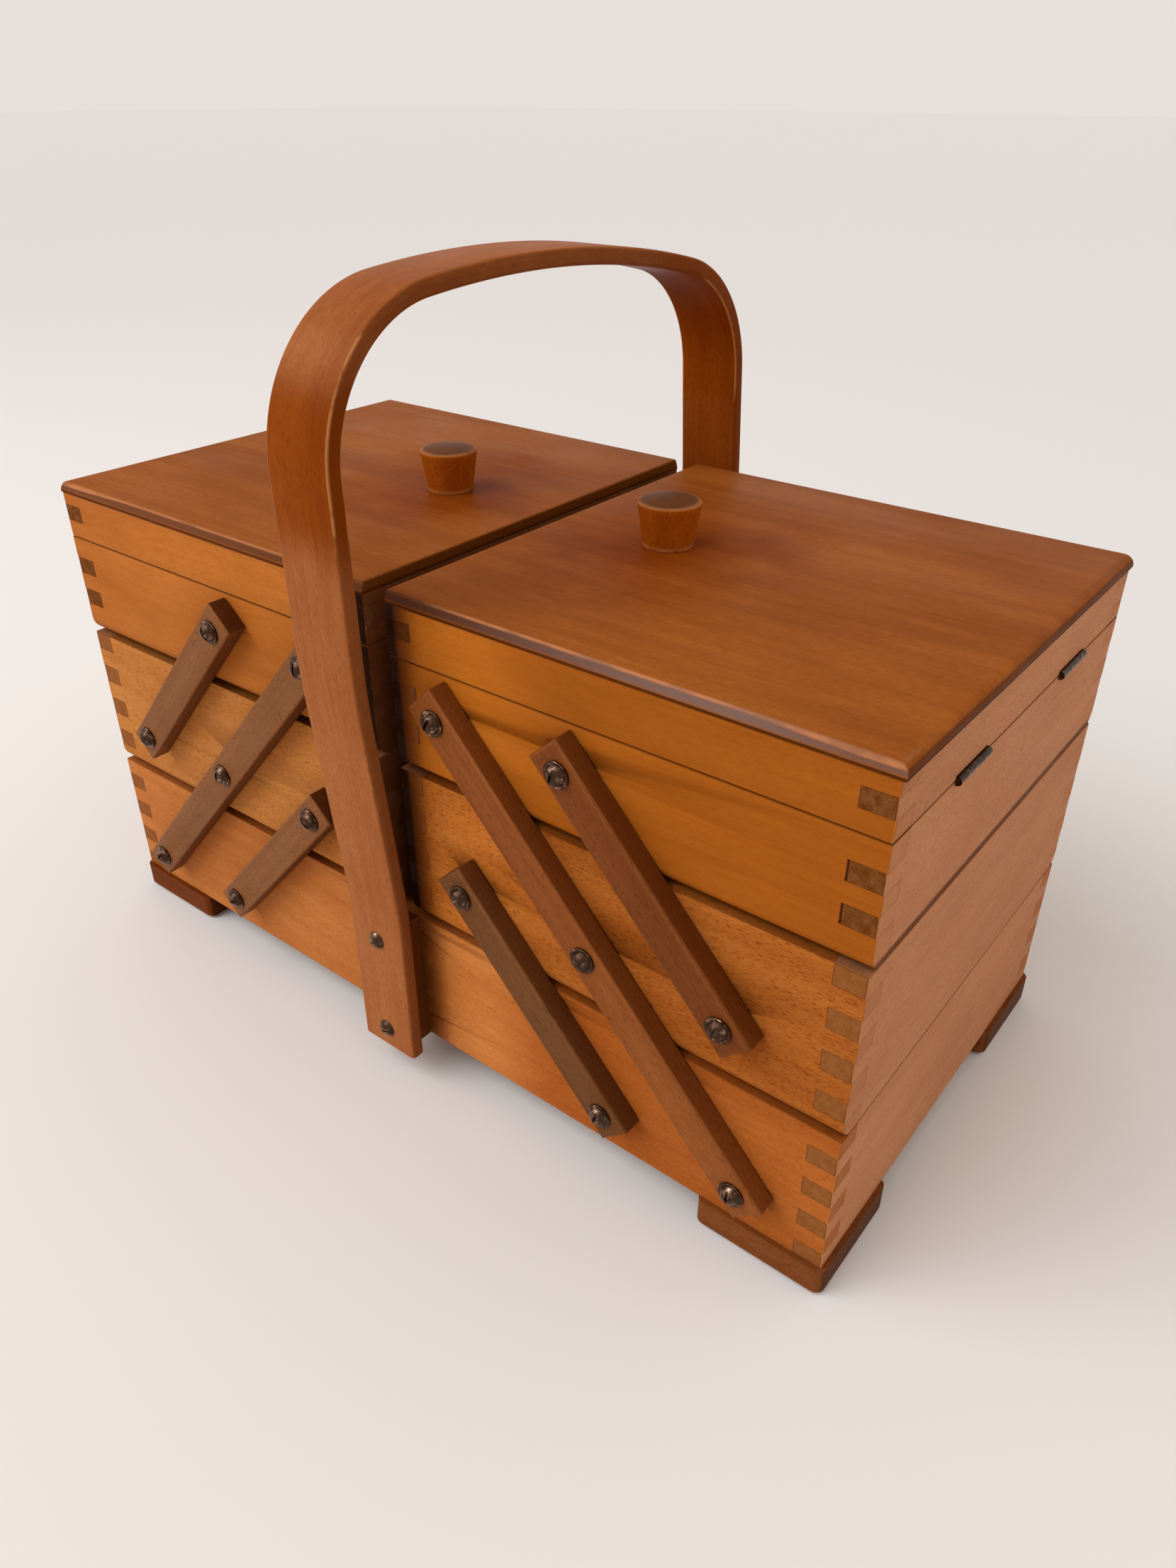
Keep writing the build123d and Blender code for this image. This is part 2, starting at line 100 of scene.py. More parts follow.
handle_width = 31.0 * MM
handle_thickness = 6.7 * MM
handle_edge = 1.7 * MM
handle_foot = 78.0 * MM
handle_flare = 9.4 * MM
handle_flare_height = 106.0 * MM
handle_front_lean = radians(0.5)
handle_rear_lean = radians(-4.5)
handle_low_bend = 200.0 * MM
handle_high_bend = 350.0 * MM
handle_shoulder = 57.8 * MM
handle_crown = 488.0 * MM
handle_crown_forward = 28.0 * MM
handle_step = 8.0 * MM            # longest stretch of the hoop between two of its sections

knob_base_radius = 10.3 * MM
knob_top_radius = 12.8 * MM
knob_height = 19.5 * MM
knob_dome = 1.4 * MM
knob_rim = 1.0 * MM
knob_foot = 0.5 * MM

# ---------------------------------------------------------------- soil and painted shade, varnish, painted light and reflection, wear
# soil and painted shade are 1 where they are deepest; stretches run from the carrier's middle, or up from the
# floor
joint_soil = 0.8
# darkening near the middle: soil, and painted shade of the gap between the halves and of the hoop's legs
trays_soil_and_shade = (21 * MM, 1.0)     # reach from the carrier's middle, and strength
base_soil_and_shade = (26 * MM, 0.75)
seam_reach = 0.5 * MM             # how far the soil and painted shade reach from the seams between the tiers
upper_seam_reach = 4 * MM         # and on the upper trays, from their lower seam
lid_seam_reach = 1.4 * MM         # and on the lids' tops, from their rims
painted_light_stretch = (14 * MM, 26 * MM, 95 * MM)             # painted light beside the hoop begins, is strongest, ends
aged_stretch = (45 * MM, 85 * MM, 105 * MM, 160 * MM)  # aged base begins, is full, eases, is weaker
knob_patch = (55 * MM, 120 * MM)  # radii of the aged patch round a knob, full and ended
knob_patch_swirl = 90 * MM        # how far its edge wanders
reflection_stretch = (18 * MM, 150 * MM)                    # painted reflection on the bevels by the hoop, halfway
reflection_corner = (155 * MM, 200 * MM)                    # and where it becomes the corner's
lip_rise = (0.7 * MM, 2.0 * MM)   # the bevels' dark lip, above the lid's lower face
worn_drop = (1.4 * MM, 0.7 * MM)  # the bevels' worn edge, below the lid's upper face
worn_widening = 1.0 * MM          # how much lower it reaches at the corner
feet_stretch = (-100 * MM, 100 * MM)                   # from the left feet, darker with painted shade, to the right ones
# hoop tones: the upper legs are deeper than the foot and the shoulders, which are painted paler for the
# floor's reflection and a highlight; the crown is a little deeper
legs_darken = (240 * MM, 262 * MM)                     # heights on the hoop
legs_lighten = (298 * MM, 314 * MM)
crown_darkens = (316 * MM, 321 * MM)
rear_leg = (20 * MM, 70 * MM)     # depth over which the hoop becomes its rear leg, darker with painted shade
hoop_wear_drop = 45 * MM          # middle of the hoop's worn shoulders, below its top
hoop_wear_reach = 30 * MM
wood_relief = 0.05 * MM
metal_relief = 0.02 * MM

# ---------------------------------------------------------------- meshes
double = 0.002 * MM               # vertices nearer than this are one
board_double = 0.005 * MM         # and on the boards that come as loose triangles
touching = 0.01 * MM              # places nearer than this are the same
flat = radians(0.5)               # faces that meet at less than this are one
sharp = radians(25)               # edges sharper than this may be rounded
crease = radians(38)              # and sharper than this stay sharp in the shading


# ================================================================ surfaces
def grid(points, wrap_rows=False, wrap_columns=False):
    """Vertices and quads of a surface given as an array of points, [row, column, xyz]."""
    rows, columns = points.shape[:2]
    index = np.arange(rows * columns).reshape(rows, columns)
    if wrap_rows:
        index = np.vstack([index, index[:1]])
    if wrap_columns:
        index = np.hstack([index, index[:, :1]])
    quads = np.stack([index[:-1, :-1], index[1:, :-1], index[1:, 1:], index[:-1, 1:]], axis=-1)
    return points.reshape(-1, 3), quads.reshape(-1, 4)


def joined(shapes):
    """Several (vertices, quads) shapes as one."""
    starts = np.cumsum([0] + [len(vertices) for vertices, _ in shapes[:-1]])
    vertices = np.concatenate([vertices for vertices, _ in shapes])
    quads = np.concatenate([quads + start for (_, quads), start in zip(shapes, starts)])
    return vertices, quads


def lathe(profile, sides=48, closed=False):
    """A profile of (radius, height) turned about Z: x = r cos a, y = r sin a, z = height."""
    radius, height = np.asarray(profile, float).T
    angle = np.linspace(0, 2 * pi, sides, endpoint=False)
    points = np.stack([np.outer(radius, np.cos(angle)), np.outer(radius, np.sin(angle)),
                       np.outer(height, np.ones(sides))], axis=-1)
    return grid(points, wrap_rows=closed, wrap_columns=True)


def arc(centre, radius, start, end, steps):
    """Points on a circle: centre + radius (cos a, sin a), a from start to end in radians."""
    angle = np.linspace(start, end, steps + 1)
    return np.stack([centre[0] + radius * np.cos(angle), centre[1] + radius * np.sin(angle)], axis=-1)


def cap_radius(rim_radius, rise):
    """Radius of the sphere whose cap has that rim and that rise."""
    return (rim_radius ** 2 + rise ** 2) / (2 * rise)


def slotted_head(radius, height, width, depth, columns=8, rows=12):
    """Domed head, z = sqrt(R^2 - r^2) - (R - height), cut by a flat-floored slot |x| < width / 2.

    Columns run along the slot, two of them at each of its walls, and each reaches the rim. The
    same grid at z = 0 closes it underneath.
    """
    side = np.linspace(width / 2, radius, columns)
    across = np.concatenate([-side[::-1], [-width / 2, width / 2], side])
    in_slot = np.zeros(len(across), bool)
    in_slot[columns:columns + 2] = True
    along = np.linspace(-1, 1, rows)
    x = np.repeat(across[:, None], rows, axis=1)
    y = np.sqrt(np.maximum(radius ** 2 - across ** 2, 0))[:, None] * along
    sphere = cap_radius(radius, height)
    z = np.sqrt(sphere ** 2 - x ** 2 - y ** 2) - (sphere - height)
    z = np.where(in_slot[:, None], np.minimum(z, height - depth), z)
    top = grid(np.stack([x, y, np.maximum(z, 0)], axis=-1))
    bottom = grid(np.stack([x, y, np.zeros_like(x)], axis=-1))
    return joined([top, bottom])


def turned(shape, angle):
    """A shape turned about Z."""
    vertices, quads = shape
    x, y, z = vertices.T
    places = np.stack([x * cos(angle) - y * sin(angle), x * sin(angle) + y * cos(angle), z], axis=-1)
    return places, quads


def on_face(shape, x, z, seat_y, outward):
    """A shape that stands on Z = 0, laid on a face that looks along -Y or +Y."""
    vertices, quads = shape
    across, up, out = vertices.T
    return np.stack([x + across, seat_y + outward * out, z + up], axis=-1), quads


def lifted(shape, x, y, z, flip=1):
    """A shape that stands on Z = 0, moved to a place, upside down where flip is -1."""
    vertices, quads = shape
    return vertices * (1, 1, flip) + (x, y, z), quads


def as_piece(name, shape, body, material, replaced=()):
    """A shape of (vertices, quads) as a closed piece that rides on a body."""
    vertices, quads = shape
    mesh = bpy.data.meshes.new(name)
    mesh.from_pydata(vertices.tolist(), [], quads.tolist())
    close_up(mesh)
    return put(bpy.data.objects.new(name, mesh), body, material, replaced)


def close_up(mesh):
    """Doubles merged, faces turned outwards, and smooth shading between the creases."""
    shell = bmesh.new()
    shell.from_mesh(mesh)
    bmesh.ops.remove_doubles(shell, verts=shell.verts, dist=double)
    bmesh.ops.recalc_face_normals(shell, faces=shell.faces)
    shell.to_mesh(mesh)
    shell.free()
    mesh.shade_smooth()
    mesh.set_sharp_from_angle(angle=crease)


def put(piece, body, material, replaced=()):
    """A piece placed in the scene with its one material, riding on a body."""
    bpy.context.scene.collection.objects.link(piece)
    piece.data.materials.clear()
    piece.data.materials.append(material)
    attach(piece, body)
    if replaced:
        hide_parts(*replaced)
    return piece


# ================================================================ shader building
def add(tree, kind, feeds=(), **settings):
    """A shader node with its settings, its input sockets set or linked."""
    made = tree.nodes.new(kind)
    for setting, value in settings.items():
        setattr(made, setting, value)
    for socket, value in dict(feeds).items():
        if isinstance(value, bpy.types.NodeSocket):
            tree.links.new(value, made.inputs[socket])
        else:
            made.inputs[socket].default_value = value
    return made


def maths(tree, operation, *values):
    """A number worked out from one or two others."""
    return add(tree, "ShaderNodeMath", enumerate(values), operation=operation).outputs[0]


def times(tree, first, second):
    return maths(tree, "MULTIPLY", first, second)


def plus(tree, first, second):
    return maths(tree, "ADD", first, second)


def largest(tree, masks):
    """The strongest of several masks at each place."""
    whole = masks[0]
    for mask in masks[1:]:
        whole = maths(tree, "MAXIMUM", whole, mask)
    return whole


def axes(tree, vector):
    """The X, Y and Z of a vector."""
    return add(tree, "ShaderNodeSeparateXYZ", {0: vector}).outputs


def distance_along(tree, vector, axis):
    """A vector's part along one axis, without its sign."""
    return maths(tree, "ABSOLUTE", axes(tree, vector)[axis])


def vectors(tree, operation, *values):
    """The outputs of a sum done on vectors."""
    return add(tree, "ShaderNodeVectorMath", enumerate(values), operation=operation).outputs


def stretched(tree, vector, along, across):
    """A vector scaled one way along the grain and another across it."""
    return vectors(tree, "MULTIPLY", vector, (along, across, across))[0]


def noise(tree, vector, detail=2.0, roughness=0.5):
    """Cloudy values round 0.5, one cloud to a unit of the vector."""
    feeds = {"Vector": vector, "Scale": 1.0, "Detail": detail, "Roughness": roughness}
    return add(tree, "ShaderNodeTexNoise", feeds).outputs[0]


def window(tree, value, low, high, to_low=0.0, to_high=1.0):
    """A value spread from low..high to another range, smoothly."""
    feeds = {"Value": value, "From Min": low, "From Max": high, "To Min": to_low, "To Max": to_high}
    return add(tree, "ShaderNodeMapRange", feeds, interpolation_type="SMOOTHSTEP").outputs[0]


def mixed(tree, factor, first, second, mode="MIX"):
    """Two colours blended by a mask."""
    feeds = {0: factor, 6: first, 7: second}
    return add(tree, "ShaderNodeMix", feeds, data_type="RGBA", blend_type=mode).outputs[2]


# colours of the varnish, of what lies on it, and of painted light and shade; the tints multiply the wood's
# own colour
# deepens aged varnish, and paints shade and reflection on the feet and the hoop
deepened_tint = (0.68, 0.41, 0.05, 1)
# paints light beside the hoop
painted_light_tint = (1.5, 1.62, 1.65, 1)
# darkens soil, and paints shade in the gap, the seams and on shaded faces
soil_and_shade_colour = (0.085, 0.018, 0.001, 1)
# nearly black: painted shade in the gap between the halves, with soil
deepest_shade_and_soil = (0.012, 0.005, 0.002, 1)
worn_bevel = (0.50, 0.185, 0.070, 1)


def new_group(name, inputs, outputs):
    """An empty shader node group with its sockets; each is (name, kind)."""
    group = bpy.data.node_groups.new(name, "ShaderNodeTree")
    for way, sockets in (("INPUT", inputs), ("OUTPUT", outputs)):
        for label, kind in sockets:
            group.interface.new_socket(label, in_out=way, socket_type=f"NodeSocket{kind}")
    return group, group.nodes.new("NodeGroupInput").outputs, group.nodes.new("NodeGroupOutput").inputs


def new_material(name):
    """A material, its node tree and its Principled shader."""
    material = bpy.data.materials.new(name)
    material.use_nodes = True
    return material, material.node_tree, material.node_tree.nodes["Principled BSDF"]


def lead_to_shader(tree, figure, shader, relief_strength, relief_depth):
    """A figure's colour, roughness and height, which its group puts out, led to the shader."""
    height = {"Height": figure.outputs["Height"], "Strength": relief_strength, "Distance": relief_depth}
    relief = add(tree, "ShaderNodeBump", height)
    tree.links.new(figure.outputs["Color"], shader.inputs["Base Color"])
    tree.links.new(figure.outputs["Roughness"], shader.inputs["Roughness"])
    tree.links.new(relief.outputs[0], shader.inputs["Normal"])


def wood_group():
    """Figure of planed and varnished wood. The vector is in millimetres with the grain along X.

    Broad clouds and long streaks shade the board between its two tones, short dark flecks lie
    along the grain, and faces across the grain show the darker pored end of the fibres. The
    deepening mask makes the colour deeper and more orange, for aged varnish and for painted shade
    and reflection. Worn edges, where the piece marks them, are paler in patches, and the darkening
    mask turns places nearly black where it is strongest, for soil and for painted shade.
    """
    group, given, result = new_group(
        "wood figure",
        [("Vector", "Vector"), ("Normal", "Vector"), ("Worn", "Float"), ("Soil And Shade", "Float"), ("Deepened", "Float"),
         ("Light", "Color"), ("Dark", "Color"), ("End Grain", "Color"), ("Bare", "Color"),
         ("Fleck Strength", "Float"), ("Roughness", "Float")],
        [("Color", "Color"), ("Roughness", "Float"), ("Height", "Float")])
    vector = given["Vector"]
    sway = noise(group, stretched(group, vector, 0.012, 0.03), detail=1.0)
    sideways = add(group, "ShaderNodeCombineXYZ", {1: times(group, sway, 9.0), 2: times(group, sway, 7.0)})
    swayed = vectors(group, "ADD", vector, sideways.outputs[0])[0]
    clouds = noise(group, stretched(group, vector, 0.011, 0.022), detail=3.0, roughness=0.6)
    bands = noise(group, stretched(group, swayed, 0.0045, 0.11), detail=2.0)
    streaks = noise(group, stretched(group, swayed, 0.016, 0.75), detail=3.0, roughness=0.6)
    fibres = noise(group, stretched(group, vector, 0.2, 4.5), detail=2.0)
    flecks = noise(group, stretched(group, swayed, 0.42, 2.9), detail=1.0, roughness=0.4)
    mottle = noise(group, stretched(group, vector, 0.28, 0.5), detail=4.0, roughness=0.7)
    tone = plus(group, times(group, window(group, clouds, 0.3, 0.7), 0.42),
                plus(group, times(group, window(group, bands, 0.3, 0.7), 0.28),
                     times(group, window(group, streaks, 0.25, 0.75), 0.30)))
    fleck_mask = times(group, window(group, flecks, 0.57, 0.69), given["Fleck Strength"])
    side = mixed(group, tone, given["Light"], given["Dark"])
    side = mixed(group, times(group, fibres, 0.2), side, given["Dark"])
    side = mixed(group, window(group, mottle, 0.35, 0.7, 0.0, 0.35), side, given["Dark"])
    side = mixed(group, fleck_mask, side, given["End Grain"], "MULTIPLY")

    end_mask = window(group, distance_along(group, given["Normal"], 0), 0.75, 0.9)
    pores = noise(group, stretched(group, vector, 0.4, 1.3), detail=3.0, roughness=0.7)
    rings = noise(group, stretched(group, vector, 0.05, 0.28), detail=1.0)
    end_tone = plus(group, times(group, pores, 0.5), times(group, rings, 0.5))
    end_light = mixed(group, 0.25, given["End Grain"], given["Dark"])
    end = mixed(group, window(group, end_tone, 0.35, 0.62), end_light, given["End Grain"])
    surface = mixed(group, end_mask, side, end)
    # deeper tone: aged varnish, and painted shade and reflection where a piece's mask asks for it
    surface = mixed(group, given["Deepened"], surface, deepened_tint, "MULTIPLY")
    patches = noise(group, stretched(group, vector, 0.09, 0.09), detail=3.0, roughness=0.65)
    bare = times(group, given["Worn"], window(group, patches, 0.32, 0.52))
    surface = mixed(group, bare, surface, given["Bare"])
    # darkening for soil and for painted shade, nearly black where it is deepest
    soil_and_shade = times(group, given["Soil And Shade"], window(group, patches, 0.1, 0.5, 0.6, 1.0))
    surface = mixed(group, soil_and_shade, surface, soil_and_shade_colour)
    surface = mixed(group, window(group, given["Soil And Shade"], 0.85, 1.0, 0.0, 0.85), surface, deepest_shade_and_soil)
    group.links.new(surface, result["Color"])

    rub = noise(group, stretched(group, vector, 0.02, 0.03), detail=3.0)
    rough = plus(group, given["Roughness"], window(group, rub, 0.3, 0.7, -0.05, 0.07))
    group.links.new(plus(group, rough, times(group, bare, 0.12)), result["Roughness"])
    relief = maths(group, "SUBTRACT", times(group, fibres, 0.35), fleck_mask)
    group.links.new(maths(group, "SUBTRACT", relief, times(group, end_mask, pores)), result["Height"])
    return group


def metal_group():
    """Darkened metal: cloudy patina, paler and smoother where it is rubbed."""
    group, given, result = new_group(
        "darkened metal", [("Vector", "Vector"), ("Patina", "Color"), ("Rubbed", "Color")],
        [("Color", "Color"), ("Roughness", "Float"), ("Height", "Float")])
    clouds = noise(group, stretched(group, given["Vector"], 0.35, 0.35), detail=4.0, roughness=0.65)
    grains = noise(group, stretched(group, given["Vector"], 2.4, 2.4), detail=2.0)
    colour = mixed(group, window(group, clouds, 0.50, 0.72), given["Patina"], given["Rubbed"])
    group.links.new(colour, result["Color"])
    group.links.new(window(group, clouds, 0.35, 0.7, 0.36, 0.2), result["Roughness"])
    group.links.new(grains, result["Height"])
    return group


wood_figure = wood_group()
darkened_metal = metal_group()

# how each wood looks: the two tones of the board, its end grain, its bare wood, and its varnish
WOODS = {
    "side_boards": dict(light=(0.64, 0.232, 0.060), dark=(0.43, 0.122, 0.022), end=(0.47, 0.190, 0.080),
                        bare=(0.66, 0.25, 0.06), flecks=0.35, roughness=0.50, specular=0.02),
    # the end boards' paler, pinker tone is partly painted sheen of the pale room on their faces
    "end_boards": dict(light=(0.58, 0.262, 0.122), dark=(0.43, 0.176, 0.078), end=(0.25, 0.080, 0.017),
                       bare=(0.52, 0.20, 0.07), flecks=0.30, roughness=0.50, specular=0.012),
    "lid_boards": dict(light=(0.38, 0.112, 0.017), dark=(0.21, 0.049, 0.006), end=(0.125, 0.034, 0.005),
                       bare=(0.60, 0.27, 0.12), flecks=0.15, roughness=0.44, specular=0.02),
    "tray_bottoms": dict(light=(0.66, 0.42, 0.21), dark=(0.52, 0.29, 0.12), end=(0.36, 0.20, 0.09),
                         bare=(0.72, 0.5, 0.28), flecks=0.3, roughness=0.55, specular=0.4),
    "long_arms": dict(light=(0.34, 0.105, 0.023), dark=(0.20, 0.050, 0.010), end=(0.075, 0.024, 0.006),
                      bare=(0.31, 0.10, 0.025), flecks=0.4, roughness=0.46, specular=0.05),
    "handle": dict(light=(0.45, 0.160, 0.050), dark=(0.28, 0.078, 0.020), end=(0.12, 0.033, 0.008),
                   bare=(0.62, 0.26, 0.09), flecks=0.25, roughness=0.40, specular=0.02),
    "knobs": dict(light=(0.43, 0.100, 0.006), dark=(0.26, 0.050, 0.002), end=(0.105, 0.036, 0.012),
                  bare=(0.55, 0.22, 0.07), flecks=0.4, roughness=0.42, specular=0.03),
    "feet": dict(light=(0.28, 0.086, 0.020), dark=(0.16, 0.042, 0.008), end=(0.085, 0.028, 0.009),
                 bare=(0.34, 0.12, 0.04), flecks=0.4, roughness=0.5, specular=0.04),
}
# planks that differ from the first of their kind
for plank, kind, differences in (
        # the left sides are paler than the right ones, partly painted light for the stronger daylight on the
        # left
        ("left_upper_sides", "side_boards",
         dict(light=(0.58, 0.192, 0.032), dark=(0.38, 0.102, 0.014), flecks=0.12)),
        ("right_upper_sides", "side_boards",
         dict(light=(0.455, 0.130, 0.013), dark=(0.31, 0.077, 0.006), flecks=0.12)),
        ("left_middle_sides", "side_boards",
         dict(light=(0.64, 0.262, 0.066), dark=(0.43, 0.136, 0.024), flecks=0.6)),
        ("right_middle_sides", "side_boards",
         dict(light=(0.555, 0.180, 0.031), dark=(0.335, 0.083, 0.010), flecks=0.75)),
        ("upper_ends", "end_boards", dict(end=(0.135, 0.037, 0.003))),
        ("inner_ends", "end_boards", dict(end=(0.34, 0.088, 0.012))),
        ("left_arms", "long_arms", dict(light=(0.30, 0.118, 0.042), dark=(0.18, 0.062, 0.019))),
        ("lower_short_arms", "long_arms", dict(light=(0.20, 0.078, 0.023), dark=(0.120, 0.040, 0.011))),
        ("upper_short_arms", "long_arms", dict(light=(0.235, 0.066, 0.014), dark=(0.135, 0.032, 0.005))),
        # the blocks are painted dark for the shade they stand in beside the hoop
        ("blocks", "handle", dict(light=(0.17, 0.050, 0.008), dark=(0.10, 0.026, 0.004)))):
    WOODS[plank] = {**WOODS[kind], **differences}
METALS = {
    "screws": dict(patina=(0.060, 0.030, 0.018), rubbed=(0.39, 0.225, 0.145)),
    "hinges": dict(patina=(0.045, 0.024, 0.013), rubbed=(0.17, 0.095, 0.052)),
}
# painted reflection on the lids' bevels: by the hoop, halfway and at the outer corners
BEVEL_REFLECTION = {"right": ((0.083, 0.030, 0.017), (0.185, 0.110, 0.090), (0.17, 0.080, 0.054)),
         "left": ((0.105, 0.034, 0.014), (0.15, 0.050, 0.022), (0.15, 0.050, 0.022))}
# turns that lay a board's grain along one axis of the carrier
ALONG_X = (0.0, 0.0, 0.0)
ALONG_Y = (0.0, 0.0, -pi / 2)
ALONG_Z = (0.0, pi / 2, 0.0)
# one stream of random draws, in the order in which the pieces are made
shuffle = np.random.default_rng(7)


def facing(tree, normal, axis, low, high, strength):
    """Mask of the faces that look along an axis; with low above high, of those that don't."""
    along = distance_along(tree, normal, axis)
    if low < high:
        return window(tree, along, low, high, 0.0, strength)
    return window(tree, along, high, low, strength, 0.0)


def near_middle(tree, places, reach, strength):
    """Mask of soil and painted shade at the places nearer to the carrier's middle, X = 0, than a distance:
    the gap between the halves and the shadow of the hoop's legs.

    It is strongest on the front and rear faces, weaker on end faces and slight on the edges between.
    """
    away = distance_along(tree, places["Object"], 0)
    outside = largest(tree, [facing(tree, places["Normal"], 1, 0.5, 0.9, 1.0),
                             facing(tree, places["Normal"], 0, 0.5, 0.9, 0.82), 0.3])
    return times(tree, window(tree, away, reach * 0.38, reach, strength, 0.0), outside)


def near_seams(tree, place, seams):
    """Mask of narrow bands at heights where two tiers meet, soil and painted shade under the overhangs and in
    the gaps; each seam is (height, reach, strength).
    """
    height = axes(tree, place)[2]
    masks = []
    for seam, reach, strength in seams:
        away = maths(tree, "ABSOLUTE", maths(tree, "SUBTRACT", height, seam))
        masks.append(window(tree, away, reach * 0.5, reach, strength, 0.0))
    return largest(tree, masks)


def wood(name, look, grain, bent=False, soiled_and_shaded=None, seams=(), deepened=None, shaded_faces=None):
    """Varnished wood whose grain runs along one direction of the piece, each board from its own plank.

    A bent piece brings its own unrolled places as an attribute, and shows no ends. Darkening lies
    near the carrier's middle, to the reach and strength given, along the seams, in the
    joints that the piece marks, and on the faces given as facing() takes them: soil in the joints,
    soil and painted shade near the middle and at the seams, painted shade on the given faces. The
    deepening argument is a function that gives the mask of aged varnish on the base and the lids,
    of painted shade on the left feet, and of painted reflection and shade on the hoop.
    """
    look = WOODS[look]
    material, tree, shader = new_material(name)
    places = add(tree, "ShaderNodeTexCoord").outputs
    place = places["Object"]
    if bent:
        place = add(tree, "ShaderNodeAttribute", attribute_name="unrolled").outputs["Vector"]
    from_plank = tuple(shuffle.uniform(-400, 400, 3))
    vector = add(tree, "ShaderNodeMapping",
                 {"Vector": place, "Location": from_plank, "Rotation": grain, "Scale": IN_MM}).outputs[0]
    worn = add(tree, "ShaderNodeAttribute", attribute_name="worn").outputs["Fac"]
    figure = add(tree, "ShaderNodeGroup", node_tree=wood_figure)
    tree.links.new(vector, figure.inputs["Vector"])
    tree.links.new(worn, figure.inputs["Worn"])
    if not bent:
        normal = add(tree, "ShaderNodeMapping", {"Vector": places["Normal"], "Rotation": grain},
                     vector_type="VECTOR").outputs[0]
        tree.links.new(normal, figure.inputs["Normal"])
    soil_and_shade = [add(tree, "ShaderNodeAttribute", attribute_name="joint").outputs["Fac"]]
    if soiled_and_shaded:
        soil_and_shade.append(near_middle(tree, places, *soiled_and_shaded))
    if seams:
        soil_and_shade.append(near_seams(tree, places["Object"], seams))
    if shaded_faces:
        soil_and_shade.append(facing(tree, places["Normal"], *shaded_faces))
    tree.links.new(largest(tree, soil_and_shade), figure.inputs["Soil And Shade"])
    if deepened:
        tree.links.new(deepened(tree, places["Object"]), figure.inputs["Deepened"])
    tint = shuffle.uniform(0.96, 1.04)
    for socket, key in {"Light": "light", "Dark": "dark", "End Grain": "end", "Bare": "bare"}.items():
        figure.inputs[socket].default_value = (*[tint * part for part in look[key]], 1)
    figure.inputs["Fleck Strength"].default_value = look["flecks"]
    figure.inputs["Roughness"].default_value = look["roughness"]
    lead_to_shader(tree, figure, shader, 0.5, wood_relief)
    shader.inputs["Specular IOR Level"].default_value = look["specular"]
    return material


def metal(name, look):
    """Darkened metal for the screws or the hinges."""
    material, tree, shader = new_material(name)
    place = add(tree, "ShaderNodeTexCoord").outputs["Object"]
    vector = add(tree, "ShaderNodeMapping", {"Vector": place, "Scale": IN_MM}).outputs[0]
    figure = add(tree, "ShaderNodeGroup", node_tree=darkened_metal)
    tree.links.new(vector, figure.inputs["Vector"])
    figure.inputs["Patina"].default_value = (*METALS[look]["patina"], 1)
    figure.inputs["Rubbed"].default_value = (*METALS[look]["rubbed"], 1)
    lead_to_shader(tree, figure, shader, 0.3, metal_relief)
    shader.inputs["Metallic"].default_value = 1.0
    return material


# ================================================================ boards
def joint_box(nodes):
    """Lowest and highest corner of several nodes together."""
    boxes = [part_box(name) for name in nodes]
    low = np.min([np.array(low) for low, _ in boxes], axis=0)
    high = np.max([np.array(high) for _, high in boxes], axis=0)
    return low, high


def on_outer_edge(low, high):
    """Test for edges that lie along the outer edges of a whole box."""
    def test(edge):
        ends = np.array([vertex.co for vertex in edge.verts])
        on_low = np.all(np.abs(ends - low) < touching, axis=0)
        on_high = np.all(np.abs(ends - high) < touching, axis=0)
        return (on_low | on_high).sum() >= 2
    return test


def longer_than(length):
    """Test for edges longer than a length, which leaves the rims of bores as they are."""
    def test(edge):
        return edge.calc_length() > length
    return test


def eased(node, wanted, width, material, wear=1.0, fingers=None):
    """A node's board with the wanted sharp edges rounded, and the rounding marked as worn.

    Where fingers names the axis that the board's fingers point along, a thin rim round each
    finger's end is marked as a joint.
    """
    rounded = bmesh.new()
    rounded.from_mesh(frame["nodes"][node].data)
    bmesh.ops.remove_doubles(rounded, verts=rounded.verts, dist=board_double)
    bmesh.ops.dissolve_limit(rounded, angle_limit=flat, verts=rounded.verts, edges=rounded.edges)
    edges = [edge for edge in rounded.edges
             if len(edge.link_faces) == 2 and edge.calc_face_angle(0) > sharp and wanted(edge)]
    worn = rounded.faces.layers.float.new("worn")
    made = bmesh.ops.bevel(rounded, geom=edges, offset=width, offset_type="OFFSET", segments=ease_steps,
                           profile=0.5, affect="EDGES", clamp_overlap=True)
    for face in made["faces"]:
        face[worn] = wear
    if fingers is not None:
        joint = rounded.faces.layers.float.new("joint")
        ends = [face for face in rounded.faces if abs(face.normal[fingers]) > 0.999 and len(face.verts) > 3]
        rims = bmesh.ops.inset_individual(rounded, faces=ends, thickness=joint_line, use_even_offset=True)
        for face in rims["faces"]:
            face[joint] = joint_soil
    for face in rounded.faces:
        face.smooth = max(abs(part) for part in face.normal) < 0.9999
    mesh = bpy.data.meshes.new(f"{node}_eased")
    rounded.to_mesh(mesh)
    rounded.free()
    mesh.set_sharp_from_angle(angle=crease)
    piece = bpy.data.objects.new(f"{node}_eased", mesh)
    return put(piece, frame["nodes"][node]["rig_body"], material, [node])


def dress(node, material):
    """A node that keeps its shape and gets its finish."""
    board = frame["nodes"][node]
    board.data.materials.clear()
    board.data.materials.append(material)


